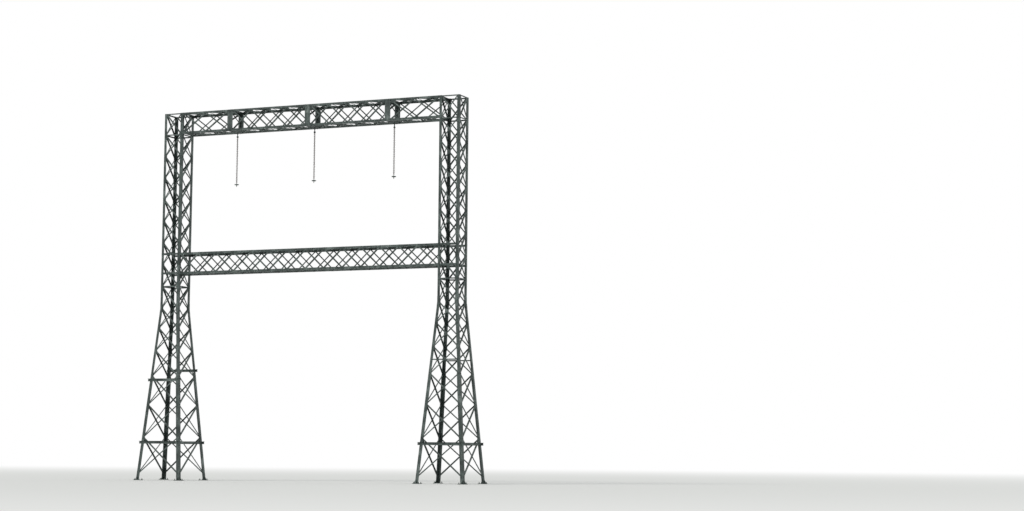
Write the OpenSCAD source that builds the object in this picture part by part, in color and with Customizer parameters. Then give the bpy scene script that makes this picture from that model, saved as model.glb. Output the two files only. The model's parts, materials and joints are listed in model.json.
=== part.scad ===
// Lattice portal pylon: two four-legged masts that carry a line girder at the top
// and a bus girder at mid height, all of bolted steel angles.
// X runs along the girders, Y through the portal, Z up. The origin lies on the
// ground under the middle of the left mast's front left base plate.

/* [Portal] */
// Distance between the two mast axes
span = 17700; // [13000:100:22000]
// Height of the leg tops above the ground
mast_h = 21300; // [19000:100:26000]

/* [Masts] */
// Width of a mast's upright shaft over its corners
shaft_w = 1220; // [900:10:1500]
// Width of a mast over its corners at the ground
base_w = 2880; // [2000:10:3600]
// Height of the waist, where the tapered legs meet the shaft
waist_z = 9900; // [8500:50:10500]
// Flange width of the leg angles
leg_size = 152; // [100:1:180]
// Flange width of the leg angles in the lowest stretch
foot_leg_size = 190; // [150:1:240]
// Thickness of the leg angles
leg_t = 13; // [8:0.5:20]
// Number of crossed panels in the shaft
shaft_panels = 9; // [7:1:11]
// Number of crossed panels between the lowest panel point and the waist
taper_panels = 5; // [4:1:6]
// Ratio of each of those panels to the one above it
panel_ratio = 1.125; // [1:0.005:1.3]
// Height of the lowest panel point above the foot panel
low_point_z = 2450; // [2000:10:2900]
// Height of the foot ring's struts
foot_ring_z = 2160; // [1500:20:2600]
// Height of the right mast's struts across its front and rear
right_strut_z = 6730; // [6400:10:7100]
// Height of the bracing's lowest points
foot_z = 380; // [150:10:600]

/* [Bracing] */
// Flange width of the bracing angles
lace_w = 70; // [45:1:90]
// Thickness of the bracing angles
lace_t = 6; // [5:0.5:10]
// Clearance between bracing ends and the angles beside them
lace_gap = 3; // [1:0.5:8]

/* [Belts] */
// Height of the upper angle across the left mast's front
front_belt_z = 5740; // [4600:20:7000]
// Height of the upper angle across the left mast's rear
rear_belt_z = 6340; // [4600:20:7000]
// Flange of a belt against the legs
belt_w = 150; // [100:5:180]
// Outward flange of a belt
belt_out = 75; // [50:5:100]
// Thickness of a belt
belt_t = 10; // [6:0.5:14]
// Reach of a belt past the legs
belt_reach = 130; // [40:5:200]

/* [Girders] */
// Depth of both girders over their chords
girder_h = 1220; // [900:10:1500]
// Height of the bus girder's top
bus_top_z = 13100; // [12400:50:14500]
// Flange width of the chord angles
chord_size = 110; // [80:1:130]
// Thickness of the chord angles
chord_t = 10; // [7:0.5:14]
// Number of crossed panels between two stations of the line girder
bay_panels = 4; // [3:1:6]
// Number of crossed panels between an outer station and the mast
end_panels = 2; // [1:1:4]
// Number of crossed panels in the bus girder
bus_panels = 14; // [10:1:18]

/* [Stations] */
// Distance between the three line stations
station_pitch = 5060; // [3800:20:5600]
// Width of a station plate
station_w = 350; // [260:5:420]
// Thickness of a station plate
station_t = 10; // [6:0.5:16]
// Height of the hanger beam's channel
beam_h = 120; // [80:1:160]
// Flange width of the hanger beam's channel
beam_w = 60; // [40:1:80]
// Wall of the hanger beam's channel
beam_t = 8; // [5:0.5:12]
// Drop of the hanger eye below the girder
eye_drop = 70; // [50:1:120]
// Distance of the hanger eye behind the girder's middle plane
eye_back = 270; // [0:10:400]

/* [Insulators] */
// Length of an insulator between its end fittings
rod_len = 2770; // [1800:10:3200]
// Diameter of the rod
rod_d = 34; // [24:1:50]
// Diameter of the large sheds
shed_d = 130; // [100:1:200]
// Diameter of the small sheds between them
small_shed_d = 100; // [80:1:150]
// Distance from one large shed to the next
shed_pitch = 100; // [70:1:140]
// Thickness of a shed at its rim
shed_lip = 3; // [2:0.5:6]
// Diameter of the end fittings
fitting_d = 56; // [54:1:80]
// Length of each end fitting
fitting_len = 110; // [90:1:160]
// Length of the rod inside each end fitting
rod_seat = 60; // [30:1:80]
// Diameter of the grading ring
ring_d = 260; // [200:5:340]
// Diameter of the grading ring's tube
ring_tube = 50; // [20:1:60]
// Thickness of the eye tongues
tongue_t = 16; // [10:0.5:20]
// Width of the eye tongues
tongue_w = 50; // [44:1:70]
// Diameter of the eye holes
eye_d = 22; // [14:0.5:30]
// Clearance between a clevis ear and its tongue
ear_gap = 0.5; // [0.2:0.1:1.5]
// Width and depth of a clevis ear's root inside its fitting
ear_root = 16; // [10:0.5:20]

/* [Bases] */
// Side of a base plate
plate_w = 420; // [380:5:520]
// Thickness of a base plate
plate_t = 25; // [16:1:40]
// Distance between anchor holes
anchor_pitch = 300; // [280:5:340]
// Diameter of an anchor hole
anchor_d = 33; // [20:1:40]
// Height of the base stiffeners
fin_h = 180; // [120:5:260]
// Thickness of the base stiffeners
fin_t = 12; // [8:0.5:20]

/* [Splices] */
// Length of a waist splice plate on each side of the bend
splice_len = 300; // [200:10:450]
// Thickness of a splice plate
splice_t = 10; // [6:0.5:14]

/* [Hidden] */
steel = "#7d8583";
plate_steel = "#868e8b";
rubber_grey = "#6d6660";
// Half of the extra width at the ground
flare = (base_w - shaft_w) / 2;
// Lean of each tapered face from the vertical
lean = atan(flare / waist_z);
// Length of a tapered face from the ground to the waist
slope_len = waist_z / cos(lean);
// Lean of a leg's corner line inside its face
edge_lean = atan(flare / slope_len);
// A length longer than any piece, for cutting planes
far = 4 * mast_h;
line_top_z = mast_h;
bus_z = bus_top_z - girder_h;
line_z = line_top_z - girder_h;
// Distance from a mast's axis to the middle of its base plates
foot_in = base_w / 2 - foot_leg_size / 2;
// Distance from the middle of the span to the masts' inner faces
inner_x = span / 2 - shaft_w / 2;
outer_x = span / 2 + shaft_w / 2;
// The line girder's chords end on the masts' inner legs
line_end_x = inner_x + leg_size;
// Heights of the belts and struts across the masts' fronts and rears
left_front_belts = [foot_ring_z, front_belt_z];
left_rear_belts = [foot_ring_z, rear_belt_z];
right_struts = [foot_ring_z, right_strut_z];
// Working points stand this far in from the edge of what carries them
gauge = lace_w;
stations = [-station_pitch, 0, station_pitch];
corners = [[-1, -1], [1, -1], [1, 1], [-1, 1]];
// Height of that many panels under the waist, in parts of the top one
function ratio_sum(count) = count == 0 ? 0 : pow(panel_ratio, count - 1) + ratio_sum(count - 1);
top_panel = (waist_z - low_point_z) / ratio_sum(taper_panels);
// Height of the panel point that many panels below the waist
function taper_level(k) = waist_z - top_panel * ratio_sum(k);
taper_levels = concat([foot_z], [for (k = [taper_panels:-1:0]) taper_level(k)]);
// The wide leg angles end two panels above the lowest panel point
wide_leg_z = taper_level(taper_panels - 2);
shaft_pitch = (mast_h - waist_z) / shaft_panels;
shaft_levels = [for (k = [0:shaft_panels]) waist_z + k * shaft_pitch];

// One straight bar of the bracing in its face, from p to q. The rib is the thin
// edge of the angle's standing flange, on the bar's upper side.
module bar(p, q, rib) {
    run = q - p;
    translate(p) rotate(atan2(run[1], run[0]))
        translate([-lace_w, rib ? lace_w / 2 - lace_t : -lace_w / 2])
            square([norm(run) + 2 * lace_w, rib ? lace_t : lace_w]);
}

// Crossed bars between neighbouring levels, and level struts where struts lists them.
// half(level) is given as two values, at the first and at the last level.
module crossed_bars(levels, half_low, half_high, struts, rib) {
    low = levels[0];
    high = levels[len(levels) - 1];
    function half(s) = half_low + (half_high - half_low) * (s - low) / (high - low) - gauge;
    for (k = [0:len(levels) - 2]) {
        s0 = levels[k];
        s1 = levels[k + 1];
        bar([-half(s0), s0], [half(s1), s1], rib);
        bar([-half(s1), s1], [half(s0), s0], rib);
    }
    for (s = struts)
        bar([-half(s), s], [half(s), s], rib);
}

// A face's bracing as one piece: flat flanges against the face and standing flanges
// inward, both cut back along the edges so that neighbouring faces pass each other.
// The half widths are those of the clear face between the edge angles' inner faces.
module lattice_face(levels, half_low, half_high, struts, trim_low, trim_high) {
    flat_cut = lace_t + lace_gap;
    rib_cut = lace_w + lace_gap;
    translate([0, 0, -lace_t])
        linear_extrude(lace_t) intersection() {
            crossed_bars(levels, half_low, half_high, struts, false);
            face_window(levels, half_low, half_high, flat_cut, trim_low, trim_high);
        }
    translate([0, 0, -lace_w])
        linear_extrude(lace_w - lace_t / 2) intersection() {
            crossed_bars(levels, half_low, half_high, struts, true);
            face_window(levels, half_low, half_high, rib_cut, trim_low, trim_high);
        }
}

// The clear part of a face, cut back from its two long edges.
module face_window(levels, half_low, half_high, cut, trim_low, trim_high) {
    s0 = levels[0];
    s1 = levels[len(levels) - 1];
    grade = (half_high - half_low) / (s1 - s0);
    function half(s) = half_low + grade * (s - s0) - cut * sqrt(1 + grade * grade);
    polygon([
        [-half(trim_low), trim_low], [half(trim_low), trim_low],
        [half(trim_high), trim_high], [-half(trim_high), trim_high]
    ]);
}

// Puts a drawing made across X and up Y onto the tapered front face, outside up.
module on_taper() {
    translate([0, -base_w / 2, 0]) rotate([90 - lean, 0, 0]) children();
}

// The same for the upright front face of the shaft.
module on_shaft() {
    translate([0, -shaft_w / 2, 0]) rotate([90, 0, 0]) children();
}

// Everything behind the tapered front face.
module behind_taper() {
    on_taper() translate([-far / 2, -far / 2, -far]) cube(far);
}

// Swaps X and Y, which turns a front-left corner's front into its side.
module swap_xy() {
    mirror([1, -1, 0]) children();
}

// The flange of the front-left lower leg that lies in the front face, drawn over by
// a margin on all sides.
module taper_flange(width, over, z0, z1) {
    wide = (width + over) / cos(edge_lean);
    function edge(s) = -base_w / 2 + flare * s / slope_len - over;
    s0 = z0 / cos(lean);
    s1 = z1 / cos(lean);
    on_taper() translate([0, 0, -leg_t]) linear_extrude(leg_t)
        polygon([[edge(s0), s0], [edge(s0) + wide, s0], [edge(s1) + wide, s1], [edge(s1), s1]]);
}

// Front flange of the front-left lower leg, wider in the lowest stretch.
module leg_flange(over) {
    taper_flange(leg_size, over, -over, waist_z + over);
    taper_flange(foot_leg_size, over, -over, wide_leg_z);
}

// Front-left lower leg: an angle whose flanges lie in the two leaning faces.
module lower_leg() {
    over = 2 * leg_t;
    intersection() {
        union() {
            leg_flange(over);
            swap_xy() leg_flange(over);
        }
        behind_taper();
        swap_xy() behind_taper();
        translate([-far / 2, -far / 2, plate_t]) cube([far, far, waist_z - plate_t]);
    }
}

// Front-left leg of the shaft.
module upper_leg() {
    c = -shaft_w / 2;
    translate([0, 0, waist_z]) linear_extrude(mast_h - waist_z)
        polygon([
            [c, c], [c + leg_size, c], [c + leg_size, c + leg_t],
            [c + leg_t, c + leg_t], [c + leg_t, c + leg_size], [c, c + leg_size]
        ]);
}

// Front-left base: an anchor plate with a stiffener against each flange of the leg.
module base() {
    centre = -foot_in;
    difference() {
        union() {
            translate([centre - plate_w / 2, centre - plate_w / 2, 0]) cube([plate_w, plate_w, plate_t]);
            base_fin();
            swap_xy() base_fin();
        }
        for (c = corners)
            translate([centre + c[0] * anchor_pitch / 2, centre + c[1] * anchor_pitch / 2, -plate_t])
                cylinder(d = anchor_d, h = 3 * plate_t, $fn = 48);
    }
}

// Triangular stiffener in front of the leg's front flange.
module base_fin() {
    reach = plate_w / 2 - foot_leg_size / 2;
    difference() {
        translate([-foot_in - fin_t / 2, -base_w / 2, plate_t]) rotate([90, 0, -90]) mirror([0, 0, 1])
            linear_extrude(fin_t) polygon([
                [-leg_t, 0], [reach, 0], [reach, fin_t], [fin_t, fin_h], [-leg_t, fin_h]
            ]);
        behind_taper();
    }
}

// Bent cover plate over the front flange of the front-left leg at the waist: a bent
// strip along X, cut to the leg's outline as seen from the front.
module splice() {
    inset = leg_t / 2;
    wide = leg_size - inset;
    low_z = waist_z - splice_len;
    top_z = waist_z + splice_len;
    bend_z = waist_z * (1 + splice_t * (1 / cos(lean) - 1) / flare);
    function face(z) = -base_w / 2 + flare * z / waist_z;
    upright = face(waist_z);
    intersection() {
        translate([-base_w, 0, 0]) rotate([90, 0, 90]) linear_extrude(base_w) polygon([
            [face(low_z), low_z], [upright, waist_z], [upright, top_z],
            [upright - splice_t, top_z], [upright - splice_t, bend_z],
            [face(low_z) - splice_t / cos(lean), low_z]
        ]);
        rotate([90, 0, 0]) linear_extrude(base_w) polygon([
            [face(low_z) + inset, low_z], [face(low_z) + inset + wide, low_z],
            [upright + inset + wide, waist_z], [upright + inset + wide, top_z],
            [upright + inset, top_z], [upright + inset, waist_z]
        ]);
    }
}

// Angle across the outside of the front legs: one flange against them, one outward.
module belt(z) {
    s = z / cos(lean);
    half = base_w / 2 - flare * s / slope_len + belt_reach;
    on_taper() translate([-half, s - belt_w / 2, 0]) {
        cube([2 * half, belt_w, belt_t]);
        translate([0, belt_w - belt_t, 0]) cube([2 * half, belt_t, belt_out]);
    }
}

module at_corners() {
    for (a = [0:90:270]) rotate(a) children();
}

module lower_legs() {
    color(steel) at_corners() lower_leg();
}

module upper_legs() {
    color(steel) at_corners() upper_leg();
}

module base_plates() {
    color(plate_steel) at_corners() base();
}

module splices() {
    color(plate_steel) at_corners() {
        splice();
        swap_xy() splice();
    }
}

// Belts across the front of a mast and across its rear, at the heights listed.
module belts(front_heights, rear_heights) {
    color(steel) {
        for (z = front_heights) belt(z);
        mirror([0, 1, 0]) for (z = rear_heights) belt(z);
    }
}

// One side of the tapered section's bracing, with a strut at each height listed. Side
// 0 is the front, and each further side is a quarter turn on: right, rear, left.
module lower_lattice(side, struts) {
    slant = 1 / cos(lean);
    levels = [for (z = taper_levels) z * slant];
    function half(s) = base_w / 2 - flare * s / slope_len - leg_t;
    color(steel) rotate(90 * side) on_taper() translate([0, 0, -leg_t])
        lattice_face(levels, half(levels[0]), half(slope_len),
            [for (z = struts) z * slant],
            (plate_t + lace_gap + leg_t) * slant, slope_len - lace_gap);
}

// One side of the shaft's bracing, with struts where the girder's underside and the
// first panel point lie and along the top.
module shaft_lattice(side) {
    half = shaft_w / 2 - leg_t;
    struts = [shaft_levels[1], shaft_levels[shaft_panels - 1], mast_h - lace_w / 2];
    color(steel) rotate(90 * side) on_shaft() translate([0, 0, -leg_t])
        lattice_face(shaft_levels, half, half, struts, waist_z + lace_gap, mast_h);
}

// One chord with its corner at the origin: the standing flange below the corner as
// far as the end, and the level flange behind it, cut away where a mast passes.
module chord(end_x, cut_at_masts) {
    translate([-end_x, -chord_t, -chord_size]) cube([2 * end_x, chord_t, chord_size + chord_t]);
    half = cut_at_masts ? inner_x - lace_gap : end_x;
    translate([-half, -chord_t, 0]) cube([2 * half, chord_size + chord_t, chord_t]);
}

// The four chords of a girder. The corners of the clear box between them lie at the
// masts' faces, at the top and bottom heights.
module girder_chords(bottom_z, top_z, end_x, cut_top) {
    color(steel) for (side = [0, 1]) mirror([0, side, 0]) {
        translate([0, -shaft_w / 2, top_z]) chord(end_x, cut_top);
        translate([0, -shaft_w / 2, bottom_z]) mirror([0, 0, 1]) chord(end_x, true);
    }
}

// Panel points along a stretch of girder.
function points(x0, x1, panels) = [for (k = [0:panels]) x0 + k * (x1 - x0) / panels];

// The line girder's stretches between plates and masts.
end_stop = inner_x - lace_w;
line_stretches = [
    points(-end_stop, -station_pitch - station_w / 2, end_panels),
    points(-station_pitch + station_w / 2, -station_w / 2, bay_panels),
    points(station_w / 2, station_pitch - station_w / 2, bay_panels),
    points(station_pitch + station_w / 2, end_stop, end_panels)
];
bus_stretches = [points(-end_stop, end_stop, bus_panels)];

// One side of a girder, drawn up Y along the girder and across X, outside up.
module girder_side(stretches, half, posts) {
    for (levels = stretches) {
        first = levels[0];
        last = levels[len(levels) - 1];
        lattice_face(levels, half, half, posts ? [first, last] : [],
            first - lace_w / 2, last + lace_w / 2);
    }
}

// Turns a girder side so that it runs along X with its outside facing -Y.
module front_side(z) {
    translate([0, -shaft_w / 2, z]) rotate([90, 0, 0]) rotate(-90) children();
}

// Turns a girder side so that it runs along X with its outside facing up.
module top_side(z) {
    translate([0, 0, z]) rotate(-90) children();
}

module girder_front(bottom_z, top_z, stretches) {
    color(steel) front_side((bottom_z + top_z) / 2)
        girder_side(stretches, (top_z - bottom_z) / 2, false);
}

module girder_top(top_z, stretches) {
    color(steel) top_side(top_z) girder_side(stretches, shaft_w / 2, true);
}

module girder_bottom(bottom_z, stretches) {
    translate([0, 0, 2 * bottom_z]) mirror([0, 0, 1]) girder_top(bottom_z, stretches);
}

// The plates on both faces of the line girder at each station.
module station_plates() {
    color(plate_steel) for (x = stations, side = [0, 1]) mirror([0, side, 0])
        translate([x - station_w / 2, -shaft_w / 2 - chord_t - station_t, line_z - chord_t])
            cube([station_w, station_t, girder_h + 2 * chord_t]);
}

// A channel across the lower chords with an eye plate under it.
module hanger_beam() {
    length = shaft_w - 2 * lace_gap;
    translate([0, length / 2, line_z]) rotate([90, 0, 0]) linear_extrude(length)
        polygon([
            [-beam_w / 2, 0], [beam_w / 2, 0], [beam_w / 2, beam_t],
            [-beam_w / 2 + beam_t, beam_t], [-beam_w / 2 + beam_t, beam_h - beam_t],
            [beam_w / 2, beam_h - beam_t], [beam_w / 2, beam_h], [-beam_w / 2, beam_h]
        ]);
    translate([-tongue_t / 2, eye_back, line_z]) tongue(eye_drop);
}

// A hanging tongue with a round end and an eye, as thick along X as it is named.
module tongue(drop) {
    rotate([90, 0, 90]) linear_extrude(tongue_t) difference() {
        union() {
            translate([-tongue_w / 2, -drop]) square([tongue_w, drop]);
            translate([0, -drop]) circle(d = tongue_w, $fn = 64);
        }
        translate([0, -drop]) circle(d = eye_d, $fn = 48);
    }
}

module hanger_beams() {
    color(plate_steel) for (x = stations) translate([x, 0, 0]) hanger_beam();
}

// Height of the pin that carries an insulator.
pin_z = line_z - eye_drop;
// The clevis on top of an insulator reaches this far below its pin.
clevis_drop = tongue_w / 2 + lace_gap;
rod_top_z = pin_z - clevis_drop - fitting_len;
rod_bottom_z = rod_top_z - rod_len;
// Underside of the lower end fitting
end_z = rod_bottom_z - fitting_len;
shed_count = floor(rod_len / shed_pitch - 0.5);
shed_start = (rod_len - (shed_count - 1) * shed_pitch) / 2;

// Half of the rod's outline with its sheds, from the bottom up. Both ends are pressed
// into the end fittings.
function shed_points(z, r) = [
    [rod_d / 2, z - r / 6], [r, z - shed_lip], [r, z], [rod_d / 2, z + r / 4]
];
rod_outline = concat(
    [[0, -rod_seat], [rod_d / 2, -rod_seat]],
    [for (k = [0:shed_count - 1]) each concat(
        shed_points(shed_start + k * shed_pitch, shed_d / 2),
        k < shed_count - 1
            ? shed_points(shed_start + (k + 0.5) * shed_pitch, small_shed_d / 2) : [])],
    [[rod_d / 2, rod_len + rod_seat], [0, rod_len + rod_seat]]
);

// One insulator under the pin at the origin of its own X: clevis, rod with sheds,
// lower fitting and grading ring.
module insulator(x) {
    color(rubber_grey) translate([x, eye_back, 0]) {
        translate([0, 0, rod_bottom_z]) rotate_extrude($fn = 64) polygon(rod_outline);
        translate([0, 0, rod_top_z]) cylinder(d = fitting_d, h = fitting_len, $fn = 64);
        translate([0, 0, end_z]) cylinder(d = fitting_d, h = fitting_len, $fn = 64);
        clevis();
        grading_ring();
    }
}

// Two ears beside the hanger eye and the pin through them.
module clevis() {
    ear_t = fitting_d / 2 - tongue_t / 2 - lace_gap;
    for (side = [-1, 1])
        translate([side * (tongue_t / 2 + ear_gap + ear_t / 2), 0, pin_z])
            rotate([90, 0, 90]) translate([0, 0, -ear_t / 2]) linear_extrude(ear_t) union() {
                circle(d = tongue_w, $fn = 64);
                translate([-tongue_w / 2, -clevis_drop]) square([tongue_w, clevis_drop]);
                translate([-ear_root / 2, -clevis_drop - ear_root]) square([ear_root, 2 * ear_root]);
            }
    pin_len = fitting_d + 2 * lace_gap;
    translate([-pin_len / 2, 0, pin_z]) rotate([0, 90, 0])
        cylinder(d = eye_d - 1, h = pin_len, $fn = 48);
}

// The ring round the lowest sheds and the bar that carries it.
module grading_ring() {
    z = rod_bottom_z - fitting_len / 2;
    translate([0, 0, z]) rotate_extrude($fn = 64)
        translate([(ring_d - ring_tube) / 2, 0]) circle(d = ring_tube, $fn = 32);
    translate([-(ring_d - ring_tube) / 2, 0, z]) rotate([0, 90, 0])
        cylinder(d = ring_tube / 2, h = ring_d - ring_tube, $fn = 32);
}

// The tongue under each insulator that takes the line's clamp.
module line_eyes() {
    color(plate_steel) for (x = stations)
        translate([x - tongue_t / 2, eye_back, end_z]) tongue(tongue_w);
}

// A mast's own axis is moved so that the left mast's front left foot is the origin.
module left_mast() {
    translate([foot_in, foot_in, 0]) children();
}

module right_mast() {
    translate([span + foot_in, foot_in, 0]) children();
}

// What is drawn about the middle of the span.
module between_masts() {
    translate([span / 2 + foot_in, foot_in, 0]) children();
}

left_mast() lower_legs();  // left_mast_lower_legs
left_mast() upper_legs();  // left_mast_upper_legs
left_mast() base_plates();  // left_mast_base_plates
left_mast() splices();  // left_mast_splices
left_mast() belts(left_front_belts, left_rear_belts);  // left_mast_belts
left_mast() lower_lattice(0, [foot_ring_z]);  // left_mast_lower_front_lattice
left_mast() lower_lattice(1, [foot_ring_z]);  // left_mast_lower_right_lattice
left_mast() lower_lattice(2, [foot_ring_z]);  // left_mast_lower_rear_lattice
left_mast() lower_lattice(3, [foot_ring_z]);  // left_mast_lower_left_lattice
left_mast() shaft_lattice(0);  // left_mast_shaft_front_lattice
left_mast() shaft_lattice(1);  // left_mast_shaft_right_lattice
left_mast() shaft_lattice(2);  // left_mast_shaft_rear_lattice
left_mast() shaft_lattice(3);  // left_mast_shaft_left_lattice
right_mast() lower_legs();  // right_mast_lower_legs
right_mast() upper_legs();  // right_mast_upper_legs
right_mast() base_plates();  // right_mast_base_plates
right_mast() splices();  // right_mast_splices
right_mast() belts([foot_ring_z], [foot_ring_z]);  // right_mast_belts
right_mast() lower_lattice(0, right_struts);  // right_mast_lower_front_lattice
right_mast() lower_lattice(1, [foot_ring_z]);  // right_mast_lower_right_lattice
right_mast() lower_lattice(2, right_struts);  // right_mast_lower_rear_lattice
right_mast() lower_lattice(3, [foot_ring_z]);  // right_mast_lower_left_lattice
right_mast() shaft_lattice(0);  // right_mast_shaft_front_lattice
right_mast() shaft_lattice(1);  // right_mast_shaft_right_lattice
right_mast() shaft_lattice(2);  // right_mast_shaft_rear_lattice
right_mast() shaft_lattice(3);  // right_mast_shaft_left_lattice
between_masts() girder_chords(line_z, line_top_z, line_end_x, false);  // line_girder_chords
between_masts() girder_front(line_z, line_top_z, line_stretches);  // line_girder_front_lattice
between_masts() mirror([0, 1, 0]) girder_front(line_z, line_top_z, line_stretches);  // line_girder_rear_lattice
between_masts() girder_top(line_top_z, line_stretches);  // line_girder_top_lattice
between_masts() girder_bottom(line_z, line_stretches);  // line_girder_bottom_lattice
between_masts() girder_chords(bus_z, bus_top_z, outer_x, true);  // bus_girder_chords
between_masts() girder_front(bus_z, bus_top_z, bus_stretches);  // bus_girder_front_lattice
between_masts() mirror([0, 1, 0]) girder_front(bus_z, bus_top_z, bus_stretches);  // bus_girder_rear_lattice
between_masts() girder_top(bus_top_z, bus_stretches);  // bus_girder_top_lattice
between_masts() girder_bottom(bus_z, bus_stretches);  // bus_girder_bottom_lattice
between_masts() station_plates();
between_masts() hanger_beams();
between_masts() insulator(stations[0]);  // left_insulator
between_masts() insulator(stations[1]);  // middle_insulator
between_masts() insulator(stations[2]);  // right_insulator
between_masts() line_eyes();
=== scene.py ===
# %% [markdown]
# # A lattice portal pylon
# Two four-legged masts of bolted steel angles carry a square girder across their tops and a
# second one at mid height. The solid model is already exact, so this lesson only dresses it:
# it gives every rolled section its weathered zinc, turns the insulators from their profiles,
# and adds the gusset plates, bolts and anchors that hold such a frame together. These could be
# modelled by hand, one after the other. But there are thousands of them in a few regular rows,
# so each kind is drawn once, and its places are worked out.

import json
import math

import bpy
import numpy as np
from mathutils import Matrix, Vector


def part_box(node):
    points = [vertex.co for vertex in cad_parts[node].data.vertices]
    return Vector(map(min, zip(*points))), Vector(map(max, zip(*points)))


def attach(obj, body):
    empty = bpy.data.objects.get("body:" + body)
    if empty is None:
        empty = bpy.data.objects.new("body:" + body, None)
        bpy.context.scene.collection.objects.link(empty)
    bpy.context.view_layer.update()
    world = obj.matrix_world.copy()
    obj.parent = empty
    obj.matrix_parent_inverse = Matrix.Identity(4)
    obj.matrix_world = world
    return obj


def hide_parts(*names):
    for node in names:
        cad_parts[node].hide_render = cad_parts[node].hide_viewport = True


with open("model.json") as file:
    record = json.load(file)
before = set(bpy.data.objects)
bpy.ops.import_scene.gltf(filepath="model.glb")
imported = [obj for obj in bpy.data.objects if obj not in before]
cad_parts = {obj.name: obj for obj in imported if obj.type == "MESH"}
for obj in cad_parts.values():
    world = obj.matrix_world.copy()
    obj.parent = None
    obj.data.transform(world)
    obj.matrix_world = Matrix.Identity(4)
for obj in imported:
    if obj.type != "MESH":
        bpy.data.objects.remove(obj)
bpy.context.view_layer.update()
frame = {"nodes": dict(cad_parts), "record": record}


# %% [markdown]
# Every size below is measured from the solid model or repeats one of its dimensions, in metres.
# The pieces are drawn about a point on the ground midway between the masts, because each mast
# mirrors the other there. The frame's own origin may lie elsewhere, so each finished piece is
# moved by the difference between the two.

# %% Measure the masts
left_legs = np.array(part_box("left_mast_upper_legs"))
right_legs = np.array(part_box("right_mast_upper_legs"))
HOME = np.array([(left_legs[0, 0] + right_legs[1, 0]) / 2, left_legs[:, 1].mean(), 0.0])
MAST_X = float(right_legs[:, 0].mean() - HOME[0])
WAIST_Z, MAST_Z = (float(z) for z in left_legs[:, 2])
SHAFT = float(np.ptp(left_legs[:, 0]) / 2)
MASTS = ((-1, "left_mast"), (1, "right_mast"))
print("mast axes at x = +-%.3f m, waist at %.2f m, top at %.2f m" % (MAST_X, WAIST_Z, MAST_Z))

# %% [markdown]
# The camera stands about 115 m away, on the ground to the right of the portal, with a long lens.
# Such a lens keeps both masts nearly the same size, and its small upward pitch lets the feet and
# the top into one frame. The portal stands left of the middle, so the lens looks past it. The
# camera was held by hand: it leans by half a degree, and so do both masts in the frame. Its place
# and angles could be found by eye. Here they were worked out from the vanishing points of the
# legs and chords, which leaves no doubt between distance and lens.

# %% Camera
CAMERA_AT = (55.04, -101.09, 1.51)
CAMERA_TURN, CAMERA_PITCH, CAMERA_LEAN = 22.874, 5.644, 0.436
FOCAL_PX, PICTURE_PX, SENSOR_MM = 2033.0, 1024.0, 36.0
FAR_CLIP = 2000.0


def turn_about(axis, degrees):
    """The rotation by an angle about one axis."""
    return Matrix.Rotation(math.radians(degrees), 3, axis)


camera_data = bpy.data.cameras.new("long_lens")
camera_data.sensor_width = SENSOR_MM
camera_data.lens = FOCAL_PX / PICTURE_PX * SENSOR_MM
camera_data.clip_end = FAR_CLIP
camera = bpy.data.objects.new("long_lens", camera_data)
camera.location = Vector(CAMERA_AT) + Vector(HOME)
aim = (turn_about("Z", CAMERA_TURN) @ turn_about("X", 90 + CAMERA_PITCH)
       @ turn_about("Z", CAMERA_LEAN))
camera.rotation_euler = aim.to_euler()
bpy.context.scene.collection.objects.link(camera)
bpy.context.scene.camera = camera
print("lens %.1f mm" % camera_data.lens)

# %% [markdown]
# Colours are written as the hex values that a paint chart or a photograph gives. Blender works in
# linear light, so one function turns the one into the other. Shader nodes could be wired in the
# editor. Here one small function adds a node and sets or links its inputs, so that a material
# reads as a short list.

# %% Colour and node helpers
def linear(hex_code):
    """sRGB hex to linear RGBA: each channel is raised along the sRGB curve, and alpha is 1."""
    channels = np.array([int(hex_code[i:i + 2], 16) for i in (1, 3, 5)]) / 255.0
    straight = np.where(channels <= 0.04045, channels / 12.92, ((channels + 0.055) / 1.055) ** 2.4)
    return (*straight.tolist(), 1.0)


def add_node(owner, kind, settings=None, inputs=None):
    """One shader node. An input that is another node's output is linked, and any other is set."""
    node = owner.node_tree.nodes.new(kind)
    for name, value in (settings or {}).items():
        setattr(node, name, value)
    for name, value in (inputs or {}).items():
        if isinstance(value, bpy.types.NodeSocket):
            owner.node_tree.links.new(value, node.inputs[name])
        else:
            node.inputs[name].default_value = value
    return node


def emptied(owner):
    """The material or world with an empty node tree."""
    owner.use_nodes = True
    owner.node_tree.nodes.clear()
    return owner


print("middle grey in linear light", round(linear("#808080")[0], 3))

# %% [markdown]
# The background is white, but light from an all-white sky would wash the steel out. So the white
# is seen only by the camera and in reflections, and casts no light. Blender's Light Path node
# tells which kind of ray is asking. The Standard view keeps white as white, where others dim it.

# %% White for the camera
bpy.context.scene.view_settings.view_transform = "Standard"
WHITE = (1.0, 1.0, 1.0, 1.0)


def calculate(owner, operation, *inputs):
    """The result of one Math node."""
    settings = {"operation": operation}
    return add_node(owner, "ShaderNodeMath", settings, dict(enumerate(inputs))).outputs["Value"]


def background_rays(owner):
    """1 for rays from the camera and from shiny or clear surfaces, which see the white, else 0."""
    paths = add_node(owner, "ShaderNodeLightPath").outputs
    shiny = calculate(owner, "MAXIMUM", paths["Is Glossy Ray"], paths["Is Transmission Ray"])
    return calculate(owner, "MAXIMUM", paths["Is Camera Ray"], shiny)


print("view transform:", bpy.context.scene.view_settings.view_transform)

# %% [markdown]
# The ground is a plain pale floor that keeps the portal's shadow and fades to the white of the
# background with distance, so that no horizon line cuts through the legs. A larger floor would
# only move the horizon line, and a curved backdrop would stand in the way of the views from
# behind.

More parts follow.
